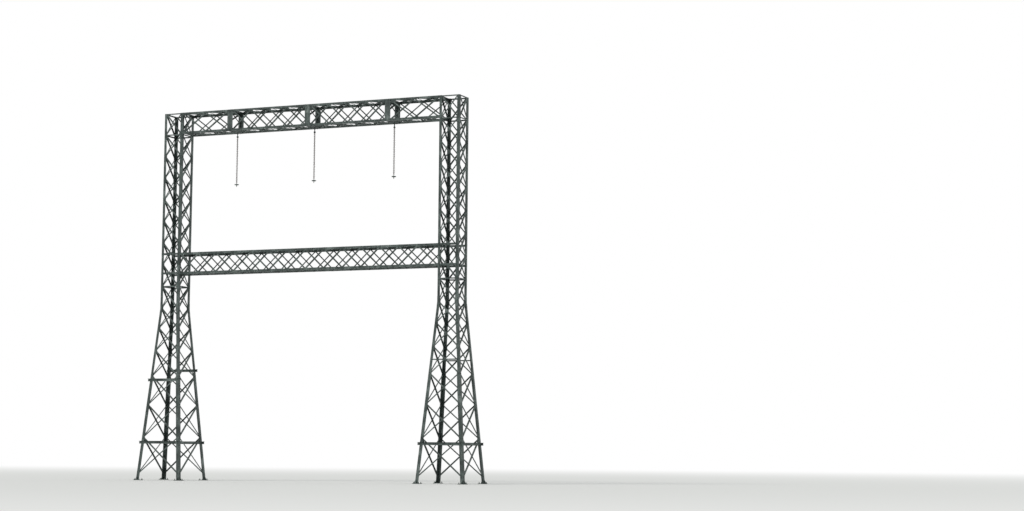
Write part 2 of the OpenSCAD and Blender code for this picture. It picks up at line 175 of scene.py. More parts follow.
# %% Floor
FLOOR_GREY, FADE_FROM, FADE_TO = "#e3e3e0", 22.0, 150.0
FLOOR_R, FLOOR_CORNERS, FLOOR_Z = 900, 96, -0.002


def rescale(owner, source, limits, onto=(0.0, 1.0), style="LINEAR"):
    """The result of one Map Range node: what lies between the limits is spread onto a new range."""
    inputs = {"Value": source, "From Min": limits[0], "From Max": limits[1],
              "To Min": onto[0], "To Max": onto[1]}
    settings = {"interpolation_type": style}
    return add_node(owner, "ShaderNodeMapRange", settings, inputs).outputs["Result"]


floor_material = emptied(bpy.data.materials.new("pale_floor"))
where = add_node(floor_material, "ShaderNodeTexCoord").outputs["Object"]
distance = add_node(floor_material, "ShaderNodeVectorMath", {"operation": "LENGTH"}, {0: where})
fade = rescale(floor_material, distance.outputs["Value"], (FADE_FROM, FADE_TO), style="SMOOTHSTEP")
share = calculate(floor_material, "MULTIPLY", fade, background_rays(floor_material))
paint = add_node(floor_material, "ShaderNodeBsdfDiffuse", inputs={"Color": linear(FLOOR_GREY)})
glow = add_node(floor_material, "ShaderNodeEmission", inputs={"Color": WHITE, "Strength": 1.0})
both = add_node(floor_material, "ShaderNodeMixShader", inputs={
    0: share, 1: paint.outputs["BSDF"], 2: glow.outputs["Emission"]})
add_node(floor_material, "ShaderNodeOutputMaterial", inputs={"Surface": both.outputs["Shader"]})

angles = np.linspace(0, 2 * np.pi, FLOOR_CORNERS, endpoint=False)
rim = FLOOR_R * np.c_[np.cos(angles), np.sin(angles)]
floor_corners = np.c_[rim, np.full(FLOOR_CORNERS, FLOOR_Z)]
floor_mesh = bpy.data.meshes.new("floor")
floor_mesh.from_pydata(floor_corners.tolist(), [], [list(range(FLOOR_CORNERS))])
floor_mesh.materials.append(floor_material)
floor = bpy.data.objects.new("floor", floor_mesh)
floor.location = HOME
bpy.context.scene.collection.objects.link(floor)
print("floor of", FLOOR_R, "m radius, white from", FADE_TO, "m on")

# %% [markdown]
# The light comes from a plain pale sky and one broad soft sun high on the left. The sky alone would
# light both flanges of an angle alike, and a hard sun would cut a lattice into black and white. A
# sun far wider than the real one gives each flange its own tone.

# %% Sky and sun
SKY_LIGHT, SKY_STRENGTH = (0.95, 0.98, 1.0, 1.0), 0.66
SUN_LIGHT, SUN_STRENGTH, SUN_WIDTH = (1.0, 0.98, 0.95), 1.2, 18
SUN_TILT, SUN_TURN = 42, -38

world = emptied(bpy.data.worlds.new("pale_sky"))
bpy.context.scene.world = world
sky = add_node(world, "ShaderNodeBackground",
               inputs={"Color": SKY_LIGHT, "Strength": SKY_STRENGTH})
backdrop = add_node(world, "ShaderNodeBackground", inputs={"Color": WHITE, "Strength": 1.0})
choice = add_node(world, "ShaderNodeMixShader", inputs={
    0: background_rays(world), 1: sky.outputs["Background"], 2: backdrop.outputs["Background"]})
add_node(world, "ShaderNodeOutputWorld", inputs={"Surface": choice.outputs["Shader"]})

sun_data = bpy.data.lights.new("soft_sun", "SUN")
sun_data.energy = SUN_STRENGTH
sun_data.angle = math.radians(SUN_WIDTH)
sun_data.color = SUN_LIGHT
sun = bpy.data.objects.new("soft_sun", sun_data)
sun.rotation_euler = (math.radians(SUN_TILT), 0.0, math.radians(SUN_TURN))
bpy.context.scene.collection.objects.link(sun)
print("sky of strength", SKY_STRENGTH, "and a sun", SUN_WIDTH, "degrees wide")

# %% [markdown]
# The frame is hot-dip galvanised steel. After decades outdoors the bright zinc has turned to a
# matt green-grey patina with darker and lighter blotches a hand to an arm wide. Its tones are set
# darker than such a patina is, and that extra darkness is painted shade. Rain has drawn
# upright streaks down it, a pale bloom lies where it dries last, and the zinc's crystals show as
# faint spangles over a fine grain. Pictures of steel would have to be laid out on thousands of
# faces and would show seams. So all of this is worked out from the place in metres, and the
# pattern runs on from one angle to the next. The base tone comes first.

# %% Tone of the zinc
def noise(owner, place, scale, detail, roughness):
    """The result of one Noise node, whose largest features are about 1 / scale metres across."""
    inputs = {"Vector": place, "Scale": scale, "Detail": detail, "Roughness": roughness}
    settings = {"noise_dimensions": "3D"}
    return add_node(owner, "ShaderNodeTexNoise", settings, inputs).outputs["Fac"]


def color_ramp(node, stops):
    """Sets a ramp's stops from (position, hex) pairs."""
    ramp = node.color_ramp
    while len(ramp.elements) < len(stops):
        ramp.elements.new(0.5)
    for element, (position, hex_code) in zip(ramp.elements, stops):
        element.position = position
        element.color = linear(hex_code)


def zinc_tone(material, place, dark, middle, light):
    """The patina's colour, darkened in part by painted shade, and its bloom. Blotches, streaks and
    bloom are added up, and the sum is carried from the dark colour over the middle one to the light
    one."""
    # Blotches: about 0.7 m across, with detail down to a few centimetres
    blotch = noise(material, place, 1.5, 5.0, 0.62)
    # Rain streaks: about 60 mm wide and 1.6 m tall
    tall = add_node(material, "ShaderNodeMapping",
                    inputs={"Vector": place, "Scale": (16.0, 16.0, 0.6)})
    streak = noise(material, tall.outputs["Vector"], 1.0, 3.0, 0.55)
    # Bloom: pale zinc salts in patches about 60 mm across
    bloom = noise(material, place, 16.0, 6.0, 0.72)
    streaked = calculate(material, "MULTIPLY_ADD", streak, 0.45, blotch)
    salted = calculate(material, "MULTIPLY_ADD", bloom, 0.5, streaked)
    level = rescale(material, salted, (0.76, 1.2))
    tone = add_node(material, "ShaderNodeValToRGB", inputs={"Fac": level})
    color_ramp(tone, [(0.0, dark), (0.5, middle), (1.0, light)])
    return tone.outputs["Color"], bloom


# Dark, middle and light tones of a green-grey patina, set darker than the zinc is, so part of their
# darkness is painted shade. The fourth colour is a rust stain.
ANGLE_ZINC = ("#2c3432", "#454f4c", "#727d79", "#4e3d30")
PLATE_ZINC = ("#313938", "#4c5653", "#79837f", "#524133")
print("from dark to light on the angles:", *ANGLE_ZINC[:3], "and on the plates:", *PLATE_ZINC[:3])

# %% [markdown]
# Over the tone lie spangle, grain and a trace of rust. Old zinc is half metal and half salt, so it
# shines a little and unevenly, crystal by crystal. One function makes both finishes, one for the
# rolled angles and a slightly lighter one for the flat plates.

# %% Weathered galvanised steel
def mix_colors(owner, share, first, second, blend="MIX"):
    """The colour from one Mix node: the second over the first by the share given."""
    settings = {"data_type": "RGBA", "blend_type": blend}
    return add_node(owner, "ShaderNodeMix", settings, {0: share, 6: first, 7: second}).outputs[2]


def weathered_zinc(name, dark, middle, light, stain):
    """Zinc under an old patina: its tone times spangle and grain, with a trace of rust."""
    material = emptied(bpy.data.materials.new(name))
    place = add_node(material, "ShaderNodeTexCoord").outputs["Object"]
    tone, bloom = zinc_tone(material, place, dark, middle, light)
    # Spangle: crystals of 10 to 20 mm, drawn at 30 mm so that they show. Each has its own shine
    crystal = add_node(material, "ShaderNodeTexVoronoi", {"feature": "F1"},
                       {"Vector": place, "Scale": 33.0})
    shine = add_node(material, "ShaderNodeSeparateColor",
                     inputs={"Color": crystal.outputs["Color"]})
    glint = rescale(material, shine.outputs["Red"], (0.0, 1.0), (0.87, 1.13))
    rough = rescale(material, shine.outputs["Green"], (0.0, 1.0), (0.42, 0.64))
    # Grain: the coating's own roughness, about 4 mm
    grain = noise(material, place, 240.0, 2.0, 0.6)
    speckle = calculate(material, "MULTIPLY_ADD", grain, 0.3, 0.85)
    patched = calculate(material, "MULTIPLY", glint, speckle)
    spangled = mix_colors(material, 1.0, tone, patched, "MULTIPLY")
    # Rust bleed: sparse, a hand wide
    bleed = rescale(material, noise(material, place, 5.0, 6.0, 0.7), (0.62, 0.78), (0.0, 0.5))
    stained = mix_colors(material, bleed, spangled, linear(stain))
    # Bump: bloom and grain stand a little proud
    uneven = calculate(material, "MULTIPLY_ADD", grain, 0.25, bloom)
    bump = add_node(material, "ShaderNodeBump", inputs={
        "Height": uneven, "Strength": 0.3, "Distance": 0.002})
    metal = add_node(material, "ShaderNodeBsdfPrincipled", inputs={
        "Base Color": stained, "Metallic": 0.45, "Roughness": rough,
        "Normal": bump.outputs["Normal"]})
    add_node(material, "ShaderNodeOutputMaterial", inputs={"Surface": metal.outputs["BSDF"]})
    return material


galvanised_angle = weathered_zinc("weathered_galvanised_angle", *ANGLE_ZINC)
galvanised_plate = weathered_zinc("weathered_galvanised_plate", *PLATE_ZINC)
print("each zinc finish has", len(galvanised_angle.node_tree.nodes), "shader nodes")

# %% [markdown]
# Silicone rubber sheds leave the mould red-brown or grey and dull with the years. Dust settles
# where they face up. It could be a second thin skin over each shed. But the way a surface faces
# says enough, so the dust is mixed into the one material by how far up the surface looks.

# %% Silicone rubber
def silicone(name, body, dust):
    """Moulded silicone rubber: matt, with clouds of pale dust where it faces up."""
    material = emptied(bpy.data.materials.new(name))
    place = add_node(material, "ShaderNodeTexCoord").outputs["Object"]
    cloud = noise(material, place, 9.0, 5.0, 0.6)
    normal = add_node(material, "ShaderNodeNewGeometry").outputs["Normal"]
    facing = add_node(material, "ShaderNodeSeparateXYZ", inputs={"Vector": normal})
    upward = rescale(material, facing.outputs["Z"], (-0.1, 1.0), (0.0, 0.6))
    dusty = calculate(material, "MULTIPLY", upward, cloud)
    skin = mix_colors(material, dusty, linear(body), linear(dust))
    rubber = add_node(material, "ShaderNodeBsdfPrincipled",
                      inputs={"Base Color": skin, "Roughness": 0.6})
    add_node(material, "ShaderNodeOutputMaterial", inputs={"Surface": rubber.outputs["BSDF"]})
    return material


silicone_rubber = silicone("dusty_silicone_rubber", "#54463e", "#8a7e73")
print("the rubber has", len(silicone_rubber.node_tree.nodes), "shader nodes")

# %% [markdown]
# The solid model names a material slot for each of its nodes: rolled steel, plates or insulator.
# A finish could be given to each node by hand. Looking it up by slot dresses them all in one loop
# and leaves none out.

# %% Dress the rolled sections and plates
FINISH = {"steel": galvanised_angle, "plates": galvanised_plate, "insulator": silicone_rubber}
slots = {part["node"]: part["material_slot"] for part in frame["record"]["subparts"]}
for name, node in frame["nodes"].items():
    for holder in node.material_slots:
        holder.material = FINISH[slots[name]]
print("dressed", len(slots), "nodes")

# %% [markdown]
# The pieces that follow are surfaces made of numbers. A surface here is a list of points and a few
# lists of faces, one list for each number of corners. Two forms make nearly all of them: a turned
# form, which is a profile carried round the upright axis, and a plate, which is an outline with a
# thickness. Blender's own cylinders and extrusions would do for one piece. Numbers are easier to
# repeat, because a form stays one small table however often it is used.

# %% Turned forms and plates
def turned(profile, sides):
    """A profile of (radius, height) pairs carried round Z: point = (r cos a, r sin a, h) for equal
    turns a. One flat face with that many corners closes each end."""
    radius, height = np.asarray(profile, float).T[:, :, None]
    angles = 2 * np.pi * np.arange(sides) / sides
    grid = [radius * np.cos(angles), radius * np.sin(angles), height + 0 * angles]
    step, last = np.arange(sides), (len(profile) - 1) * sides
    after, ring = (step + 1) % sides, np.arange(0, last, sides)[:, None]
    quads = [ring + step, ring + after, ring + sides + after, ring + sides + step]
    ends = np.stack([step[::-1], last + step])
    return np.stack(grid, axis=-1).reshape(-1, 3), [np.stack(quads, axis=-1).reshape(-1, 4), ends]


def plate(outline, low, high):
    """An outline, anticlockwise across X and Y, drawn up from z = low to z = high and closed."""
    outline = np.asarray(outline, float)
    count = len(outline)
    points = np.concatenate([np.c_[outline, np.full(count, z)] for z in (low, high)])
    step = np.arange(count)
    after = (step + 1) % count
    walls = np.stack([step, after, count + after, count + step], axis=-1)
    return points, [walls, np.stack([step[::-1], count + step])]


def together(*surfaces):
    """Several surfaces as one."""
    starts = np.cumsum([0] + [len(points) for points, _ in surfaces[:-1]])
    return (np.concatenate([points for points, _ in surfaces]),
            [faces + start for start, (_, lists) in zip(starts, surfaces) for faces in lists])


nut_points, nut_faces = turned([(1, 0), (1, 1)], 6)
print("a plain nut has", len(nut_points), "points and", sum(map(len, nut_faces)), "faces")

# %% [markdown]
# A bolt in the real frame is one of a thousand alike. Linked duplicates would give as many objects
# to look after. Here the copies of a form are one array product: every point is multiplied by
# every place, so a thousand bolts are one piece and cost no more lines than one.

# %% Copies
def copies(surface, places):
    """The surface once for each place, a 3 x 4 matrix of three axis columns and an origin."""
    points, lists = surface
    places = np.asarray(places, float).reshape(-1, 3, 4)
    moved = np.einsum("nij,vj->nvi", places[:, :, :3], points) + places[:, None, :, 3]
    shift = np.arange(len(places))[:, None, None] * len(points)
    repeated = [(faces[None] + shift).reshape(-1, faces.shape[1]) for faces in lists]
    return moved.reshape(-1, 3), repeated


two_nuts = copies((nut_points, nut_faces), [np.eye(3, 4)] * 2)
print("two copies of it have", len(two_nuts[0]), "points")

# %% [markdown]
# A surface becomes a piece when its numbers are handed to a mesh. Blender takes them in bulk, as
# one flat list of places, one of corners and one of where each face starts. That takes the same
# few calls for six points as for a hundred thousand. The piece then rides on the portal's one
# body, in the finish it is given.

# %% Pieces
def make_piece(name, surface, finish, stands_for=(), smooth_angle=None):
    """Makes a surface an object of the part, in the finish given. It may stand for CAD nodes."""
    points, lists = surface
    corners = np.concatenate([faces.ravel() for faces in lists]).astype(np.int32)
    sizes = np.concatenate([np.full(len(faces), faces.shape[1]) for faces in lists])
    mesh = bpy.data.meshes.new(name)
    mesh.vertices.add(len(points))
    mesh.vertices.foreach_set("co", (points + HOME).astype(np.float32).ravel())
    mesh.loops.add(len(corners))
    mesh.loops.foreach_set("vertex_index", corners)
    mesh.polygons.add(len(sizes))
    mesh.polygons.foreach_set("loop_start", (np.cumsum(sizes) - sizes).astype(np.int32))
    mesh.update(calc_edges=True)
    mesh.polygons.foreach_set("use_smooth", np.full(len(sizes), smooth_angle is not None))
    if smooth_angle is not None:
        mesh.set_sharp_from_angle(angle=math.radians(smooth_angle))
    mesh.materials.append(finish)
    piece = bpy.data.objects.new(name, mesh)
    bpy.context.scene.collection.objects.link(piece)
    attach(piece, "root")
    if stands_for:
        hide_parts(*stands_for)
    print("%s: %d points, %d triangles" % (name, len(points), (sizes - 2).sum()))

# %% [markdown]
# A mast is a ladder of crossed panels. In the shaft all are equal. In the taper each is longer
# than the one above it by a fixed ratio, as its legs spread, so that the bars keep about the same
# slope. The points where they meet the legs could be measured one by one. A ratio gives them all,
# and gives the solid model's own.

# %% Panel points of the masts
# Half the width over the corners at the ground, and the thicknesses of legs and bracing
BASE, LEG_T, LACE_T = 1.44, 0.013, 0.006
# How far in from the flange beside them the bars' axes end on a leg or chord
GAUGE = 0.070
FOOT_Z, RING_Z, LOW_POINT_Z = 0.38, 2.16, 2.45
TAPER_PANELS, PANEL_RATIO, SHAFT_PANELS = 5, 1.125, 9
LEAN = math.atan((BASE - SHAFT) / WAIST_Z)
steps = np.cumsum(np.concatenate([[0.0], PANEL_RATIO ** np.arange(TAPER_PANELS)]))
points_z = WAIST_Z - (WAIST_Z - LOW_POINT_Z) * steps[::-1] / steps[-1]
taper_z = np.concatenate([[FOOT_Z], points_z])
shaft_z = np.linspace(WAIST_Z, MAST_Z, SHAFT_PANELS + 1)
STRETCHES = ((taper_z, LEAN), (shaft_z, 0.0))


def half_width(z):
    """Half the mast's width over its corners at height z."""
    z = np.asarray(z)
    return np.where(z < WAIST_Z, BASE - (BASE - SHAFT) * z / WAIST_Z, SHAFT)


print("panel points of the taper", np.round(taper_z, 2).tolist())
print("panel points of the shaft", np.round(shaft_z, 2).tolist())

# %% [markdown]
# Everything on a mast is laid out on its sides, as in a workshop drawing of one of them. A side
# has its own axes: across it, up its slope and outward, and a place on it is a matrix made from
# these three. The lower sides lean inward by a little under five degrees, and each further side
# is a quarter turn on from the front.

# %% Places on the masts' sides
def one_shape(*values):
    """Numbers and lists as arrays of one shape."""
    return np.broadcast_arrays(*(np.asarray(value, float) for value in values))


def spun(across, up, out, spin):
    """Three axes, the first two turned by spin about the third: across cos spin + up sin spin, and
    up cos spin - across sin spin."""
    spin = spin[..., None]
    x_axis = np.cos(spin) * across + np.sin(spin) * up
    y_axis = np.cos(spin) * up - np.sin(spin) * across
    return x_axis, y_axis, np.broadcast_to(out, x_axis.shape)


def on_face(mast, side, lean, across, z, outward=0.0, spin=0.0):
    """Places on a mast's side: across it, at height z of its outer plane, and outward of it."""
    across, z, outward, spin = one_shape(across, z, outward, spin)
    sine, cosine = math.sin(lean), math.cos(lean)
    right, up, out = np.array([[1, 0, 0], [0, sine, cosine], [0, -cosine, sine]])
    origin = np.stack([across, -half_width(z), z], axis=-1) + outward[..., None] * out
    place = np.stack([*spun(right, up, out, spin), origin], axis=-1).reshape(-1, 3, 4)
    turn = math.radians(90 * side)
    quarter = [[math.cos(turn), -math.sin(turn), 0], [math.sin(turn), math.cos(turn), 0], [0, 0, 1]]
    place = np.einsum("ij,njk->nik", np.array(quarter), place)
    place[:, 0, 3] += mast * MAST_X
    return place


print("the lower sides lean by %.2f degrees" % math.degrees(LEAN))

# %% [markdown]
# Where bracing meets a leg, a thin gusset plate lies behind the leg's flange and carries the bar
# ends. It barely shows past the flange. Where two bars cross, a small packing plate fills the step
# between them. A gusset could be cut to fit each joint. On masts of this kind one size serves for
# many joints, so each is one outline, copied to every panel point. It lies a hair behind the
# bars' faces, so that no two surfaces share a plane.

# %% Gusset and packing plates
GUSSET = [(0.0, -0.16), (0.12, -0.16), (0.165, -0.1), (0.165, 0.1), (0.12, 0.16), (0.0, 0.16)]
CROSSING = [(0.045, -0.02), (0.045, 0.02), (0.02, 0.045), (-0.02, 0.045),
            (-0.045, 0.02), (-0.045, -0.02), (-0.02, -0.045), (0.02, -0.045)]
BEHIND, GUSSET_IN = 0.0008, 0.012
gusset = plate(GUSSET, -BEHIND, LACE_T - BEHIND)
crossing = plate(CROSSING, -BEHIND, LACE_T - BEHIND)


def crossings(levels, halves):
    """Heights where each panel's bars cross: they divide the panel in the ratio of its widths."""
    share = halves[:-1] / (halves[:-1] + halves[1:])
    return levels[:-1] + (levels[1:] - levels[:-1]) * share


def mast_plates(mast):
    """The places of a mast's gussets and packing plates, on all four sides of taper and shaft."""
    knots, packs = [], []
    depth = -LEG_T - LACE_T
    for levels, lean in STRETCHES:
        inner = half_width(levels) - LEG_T - GAUGE
        z = levels[1:] if lean else levels[1:-1]
        edge = half_width(z) - LEG_T - GUSSET_IN
        for side in range(4):
            knots.append(on_face(mast, side, lean, -edge, z, depth))
            knots.append(on_face(mast, side, lean, edge, z, depth, np.pi))
            packs.append(on_face(mast, side, lean, 0.0, crossings(levels, inner), depth))
    return np.concatenate(knots), np.concatenate(packs)


for mast, mast_name in MASTS:
    knots, packs = mast_plates(mast)
    make_piece(f"{mast_name}_gussets", together(copies(gusset, knots), copies(crossing, packs)),
               galvanised_plate)

# %% [markdown]
# Every bar end is bolted. A bolt is three turned forms with few sides: a washer, a six-sided head,
# and on the far side a nut with the bolt's end. Real threads and domed heads would cost a hundred
# times the faces and show from no distance at which the frame is seen. The grip between head and
# nut is the steel that the bolt clamps, and the shank inside it stays hidden and isn't drawn.

# %% A bolt
WASHER_R, WASHER_T = 0.0185, 0.003
HEX_R, HEX_EDGE, HEAD_TOP, NUT_LOW = 0.0173, 0.002, 0.0155, 0.018
HEAD_FACE_R, NUT_FACE_R = 0.015, 0.0155
THREAD_R, THREAD_LOW, THREAD_EDGE = 0.010, 0.026, 0.001


def bolt(grip):
    """A 20 mm bolt along -Z: washer and head above its seat at z = 0, nut below its grip."""
    under_nut = -grip - NUT_LOW
    washer = turned([(WASHER_R, 0), (WASHER_R, WASHER_T)], 8)
    head = turned([(HEX_R, WASHER_T), (HEX_R, HEAD_TOP - HEX_EDGE), (HEAD_FACE_R, HEAD_TOP)], 6)
    nut = turned([(THREAD_R - THREAD_EDGE, -grip - THREAD_LOW), (THREAD_R, under_nut),
                  (NUT_FACE_R, under_nut), (HEX_R, under_nut + HEX_EDGE), (HEX_R, -grip)], 6)
    return together(washer, head, nut)


print("a bolt has", len(bolt(LEG_T)[0]), "points")

# %% [markdown]
# In a mast the bolts sit in rows: at the ends of every bar, at the panel points, through the splice
# plates at the waist, and through the belts and struts that cross the faces. A belt or splice
# lies on the leg's outer side, so the heads there sit that much further out. Each row is a list
# of points across and along one side, and a mirrored copy serves the other leg.

# %% Rows of bolts
BAR_REACH = 0.055
SPLICE_T, SPLICE_LEN = 0.010, 0.30
SPLICE_ROWS, SPLICE_INSETS = np.array([0.09, 0.16, 0.23]), np.array([0.05, 0.115, 0.05])
BELT_T, BELT_W = 0.010, 0.15


def both_legs(rows):
    """(across, along) points, and the same mirrored to the other leg."""
    return np.concatenate([rows, rows * [-1, 1]])


def bar_ends(levels, halves, reach):
    """(across, along) of a point on each crossed bar of each panel, reach in from each end."""
    low, high = levels[:-1], levels[1:]
    wide, narrow = halves[:-1], halves[1:]
    run = np.stack([narrow + wide, high - low], axis=-1)
    step = reach * run / np.linalg.norm(run, axis=-1, keepdims=True)
    foot = np.stack([-wide, low], axis=-1) + step
    tip = np.stack([narrow, high], axis=-1) - step
    return both_legs(np.concatenate([foot, tip]))


def rows_on_legs(heights, insets, lifts):
    """(across, along) of bolts on both legs, for every height, inset and lift together."""
    z, inset, lift = np.meshgrid(heights, insets, lifts, indexing="ij")
    return both_legs(np.stack([half_width(z + lift) - inset, z + lift], axis=-1).reshape(-1, 2))


def seat_height(z, belts):
    """What lies on the leg at height z: a splice at the waist, one of its belts, or nothing."""
    on_splice = np.abs(z - WAIST_Z) < SPLICE_LEN
    on_belt = (np.abs(z[:, None] - np.array(belts)) < BELT_W / 2).any(axis=1)
    return np.where(on_splice, SPLICE_T, np.where(on_belt, BELT_T, 0.0))


shaft_ends = bar_ends(shaft_z, half_width(shaft_z) - LEG_T - GAUGE, BAR_REACH)
print("one side of a shaft has", len(shaft_ends), "bar ends")

# %% [markdown]
# The rows are put together side by side. The two masts differ: the left one has upper belts, on
# its front and rear at unequal heights, where the right one has struts in the plane of its
# lattice. Both have belts on two sides of the foot ring and struts on the other two.

# %% Bolts of the masts
BELT_INSETS, BELT_LIFTS, STRUT_INSETS = (0.045, 0.115), (-0.035, 0.03), (0.06, 0.12)
TOP_CLEAR, STRUT_Z = 0.02, 6.73
# Heights by mast and side: 0 is the front, 1 the right, 2 the rear and 3 the left
BELTS = {-1: {0: (RING_Z, 5.74), 2: (RING_Z, 6.34)}, 1: {0: (RING_Z,), 2: (RING_Z,)}}
STRUTS = {-1: {1: (RING_Z,), 3: (RING_Z,)},
          1: {0: (STRUT_Z,), 1: (RING_Z,), 2: (STRUT_Z,), 3: (RING_Z,)}}


def mast_bolts(mast):
    """Places of the bolts in a mast's legs, and of those where bars cross."""
    seats, middles = [], []
    for levels, lean in STRETCHES:
        inner = half_width(levels) - LEG_T - GAUGE
        rows = WAIST_Z - SPLICE_ROWS if lean else WAIST_Z + SPLICE_ROWS
        common = [bar_ends(levels, inner, BAR_REACH), both_legs(np.c_[inner, levels]),
                  both_legs(np.c_[half_width(rows) - SPLICE_INSETS, rows])]
        for side in range(4):
            belts = BELTS[mast].get(side, ()) if lean else ()
            struts = STRUTS[mast].get(side, ()) if lean else ()
            spots = np.concatenate([*common, rows_on_legs(belts, BELT_INSETS, BELT_LIFTS),
                                    rows_on_legs(struts, STRUT_INSETS, (0.0,))])
            u, z = spots[spots[:, 1] < MAST_Z - TOP_CLEAR].T
            seats.append(on_face(mast, side, lean, u, z, seat_height(z, belts)))
            middles.append(on_face(mast, side, lean, 0.0, crossings(levels, inner), -LEG_T))
    return np.concatenate(seats), np.concatenate(middles)


for mast, mast_name in MASTS:
    seats, middles = mast_bolts(mast)
    make_piece(f"{mast_name}_bolts", together(copies(bolt(LEG_T + 2 * LACE_T), seats),
                                              copies(bolt(2 * LACE_T), middles)),
               galvanised_plate)

# %% [markdown]
# The two girders are square tubes of lattice, laid out the same way with their length on X. The
# upper one is broken at three stations, the lower one runs through. Their four sides could be
# drawn one by one. As all are alike, one function places things on any of them, and a small
# table says which way each side faces.

# %% Places on the girders
CHORD_T, STATION_T, STATION_W, PITCH = 0.010, 0.010, 0.35, 5.06
LINE_TOP, BUS_TOP, DEPTH = MAST_Z, 13.1, 1.22
END_PANELS, BAY_PANELS, BUS_PANELS = 2, 4, 14
END_STOP = MAST_X - SHAFT - GAUGE
STATIONS = np.array([-PITCH, 0.0, PITCH])
side_points = [np.linspace(-END_STOP, -PITCH - STATION_W / 2, END_PANELS + 1),
               np.linspace(-PITCH + STATION_W / 2, -STATION_W / 2, BAY_PANELS + 1)]
line_stretches = side_points + [-points[::-1] for points in side_points[::-1]]
bus_stretches = [np.linspace(-END_STOP, END_STOP, BUS_PANELS + 1)]
GIRDERS = (("line_girder", LINE_TOP, line_stretches), ("bus_girder", BUS_TOP, bus_stretches))
# For each side, the axis across it and the axis outward
GIRDER_AXES = {"front": ((0, 0, 1), (0, -1, 0)), "rear": ((0, 0, 1), (0, 1, 0)),
               "top": ((0, -1, 0), (0, 0, 1)), "bottom": ((0, -1, 0), (0, 0, -1))}


def on_girder(side, top_z, x, across, outward, spin=0.0):
    """Places on one side of a girder: x along it, across from its middle line, and outward."""
    over, out = (np.array(axis, float) for axis in GIRDER_AXES[side])
    x, across, outward, spin = one_shape(x, across, outward, spin)
    origin = (x[..., None] * np.array([1.0, 0, 0]) + across[..., None] * over
              + (outward[..., None] + DEPTH / 2) * out + np.array([0, 0, top_z - DEPTH / 2]))
    axes = spun(np.cross(over, out), over, out, spin)
    return np.stack([*axes, origin], axis=-1).reshape(-1, 3, 4)


panel_lengths = [round(float(points[1] - points[0]), 3) for points in line_stretches]
print("line girder panels of", panel_lengths, "m")

# %% [markdown]
# The chords lie outside the lattice, so the bolts start from the chords' outer faces. The line
# girder's top is the highest side of all. Nothing on it may stand above the solid model, so it
# gets no bolts through the chords, and those at its crossings are sunk. At the masts the chords
# are bolted to the legs: the line girder's end on the inner legs, the bus girder's reach the
# outer ones too.

# %% Gussets and bolts of the girders
SMALL_GUSSET = [(0.0, -0.13), (0.09, -0.13), (0.125, -0.08),
                (0.125, 0.08), (0.09, 0.13), (0.0, 0.13)]
small_gusset = plate(SMALL_GUSSET, -BEHIND, LACE_T - BEHIND)
GIRDER_REACH, SMALL_GUSSET_IN, SUNK = 0.04, 0.01, 0.0055
LEG_ROWS = (0.035, 0.08)


def girder_places(girder, top_z, stretches):
    """Places of a girder's bar bolts, crossing bolts, gussets and packing plates."""
    seats, middles, knots, packs = [], [], [], []
    edge = DEPTH / 2 - SMALL_GUSSET_IN
    for side in GIRDER_AXES:
        highest = girder == "line_girder" and side == "top"
        for levels in stretches:
            halves = np.full(len(levels), DEPTH / 2 - GAUGE)
            across, along = bar_ends(levels, halves, GIRDER_REACH).T
            centres = crossings(levels, halves)
            if not highest:
                seats.append(on_girder(side, top_z, along, across, CHORD_T))
            middles.append(on_girder(side, top_z, centres, 0.0, -SUNK if highest else 0.0))
            packs.append(on_girder(side, top_z, centres, 0.0, -LACE_T))
            for sign in (-1, 1):
                inward = -sign * np.pi / 2
                knots.append(on_girder(side, top_z, levels, sign * edge, -LACE_T, inward))
    return [np.concatenate(places) for places in (seats, middles, knots, packs)]


def leg_bolts(girder, top_z):
    """Places of the bolts through a girder's chords into the masts' legs."""
    legs = np.array([-1, -1] if girder == "line_girder" else [-1, -1, 1, 1])
    x = MAST_X + legs * (SHAFT - LEG_T - GAUGE)
    across = DEPTH / 2 - np.resize(LEG_ROWS, len(legs))
    return np.concatenate([on_girder(side, top_z, end * x, rise * across, CHORD_T)
                           for side in ("front", "rear") for end in (-1, 1) for rise in (-1, 1)])


for girder, top_z, stretches in GIRDERS:
    seats, middles, knots, packs = girder_places(girder, top_z, stretches)
    make_piece(f"{girder}_bolts", together(copies(bolt(CHORD_T + 2 * LACE_T), seats),
                                           copies(bolt(2 * LACE_T), middles),
                                           copies(bolt(CHORD_T + LEG_T), leg_bolts(girder, top_z))),
               galvanised_plate)
    make_piece(f"{girder}_gussets", together(copies(small_gusset, knots), copies(crossing, packs)),
               galvanised_plate)

# %% [markdown]
# Across the top and bottom of each girder, flat ties join the two sides at the panel points. From
# below they break the long gaps between the chords into short ones. Each is an outline with
# clipped ends, nearly as long as the girder is deep, and lies under the gussets. Angles would do
# as well, but flats keep clear of the crossed bars beside them.

# %% Ties of the girders
TIE_W, TIE_CLIP, TIE_IN = 0.06, 0.02, 0.01
TIE_END = DEPTH / 2 - TIE_IN
TIE = np.array([(TIE_W / 2 - TIE_CLIP, -TIE_END), (TIE_W / 2, TIE_CLIP - TIE_END),
                (TIE_W / 2, TIE_END - TIE_CLIP), (TIE_W / 2 - TIE_CLIP, TIE_END)])
tie = plate(np.concatenate([TIE, -TIE]), -3 * LACE_T, -2 * LACE_T)
for girder, top_z, stretches in GIRDERS:
    inner_points = np.concatenate([levels[1:-1] for levels in stretches])
    places = [on_girder(side, top_z, inner_points, 0.0, 0.0) for side in ("top", "bottom")]
    make_piece(f"{girder}_ties", copies(tie, np.concatenate(places)), galvanised_angle)

# %% [markdown]
# At a station, bolts go through plate, chord and bar, four abreast in two rows at top and bottom.
# A hanger beam lies on the lower chords, and one bolt at each of its ends holds it down.

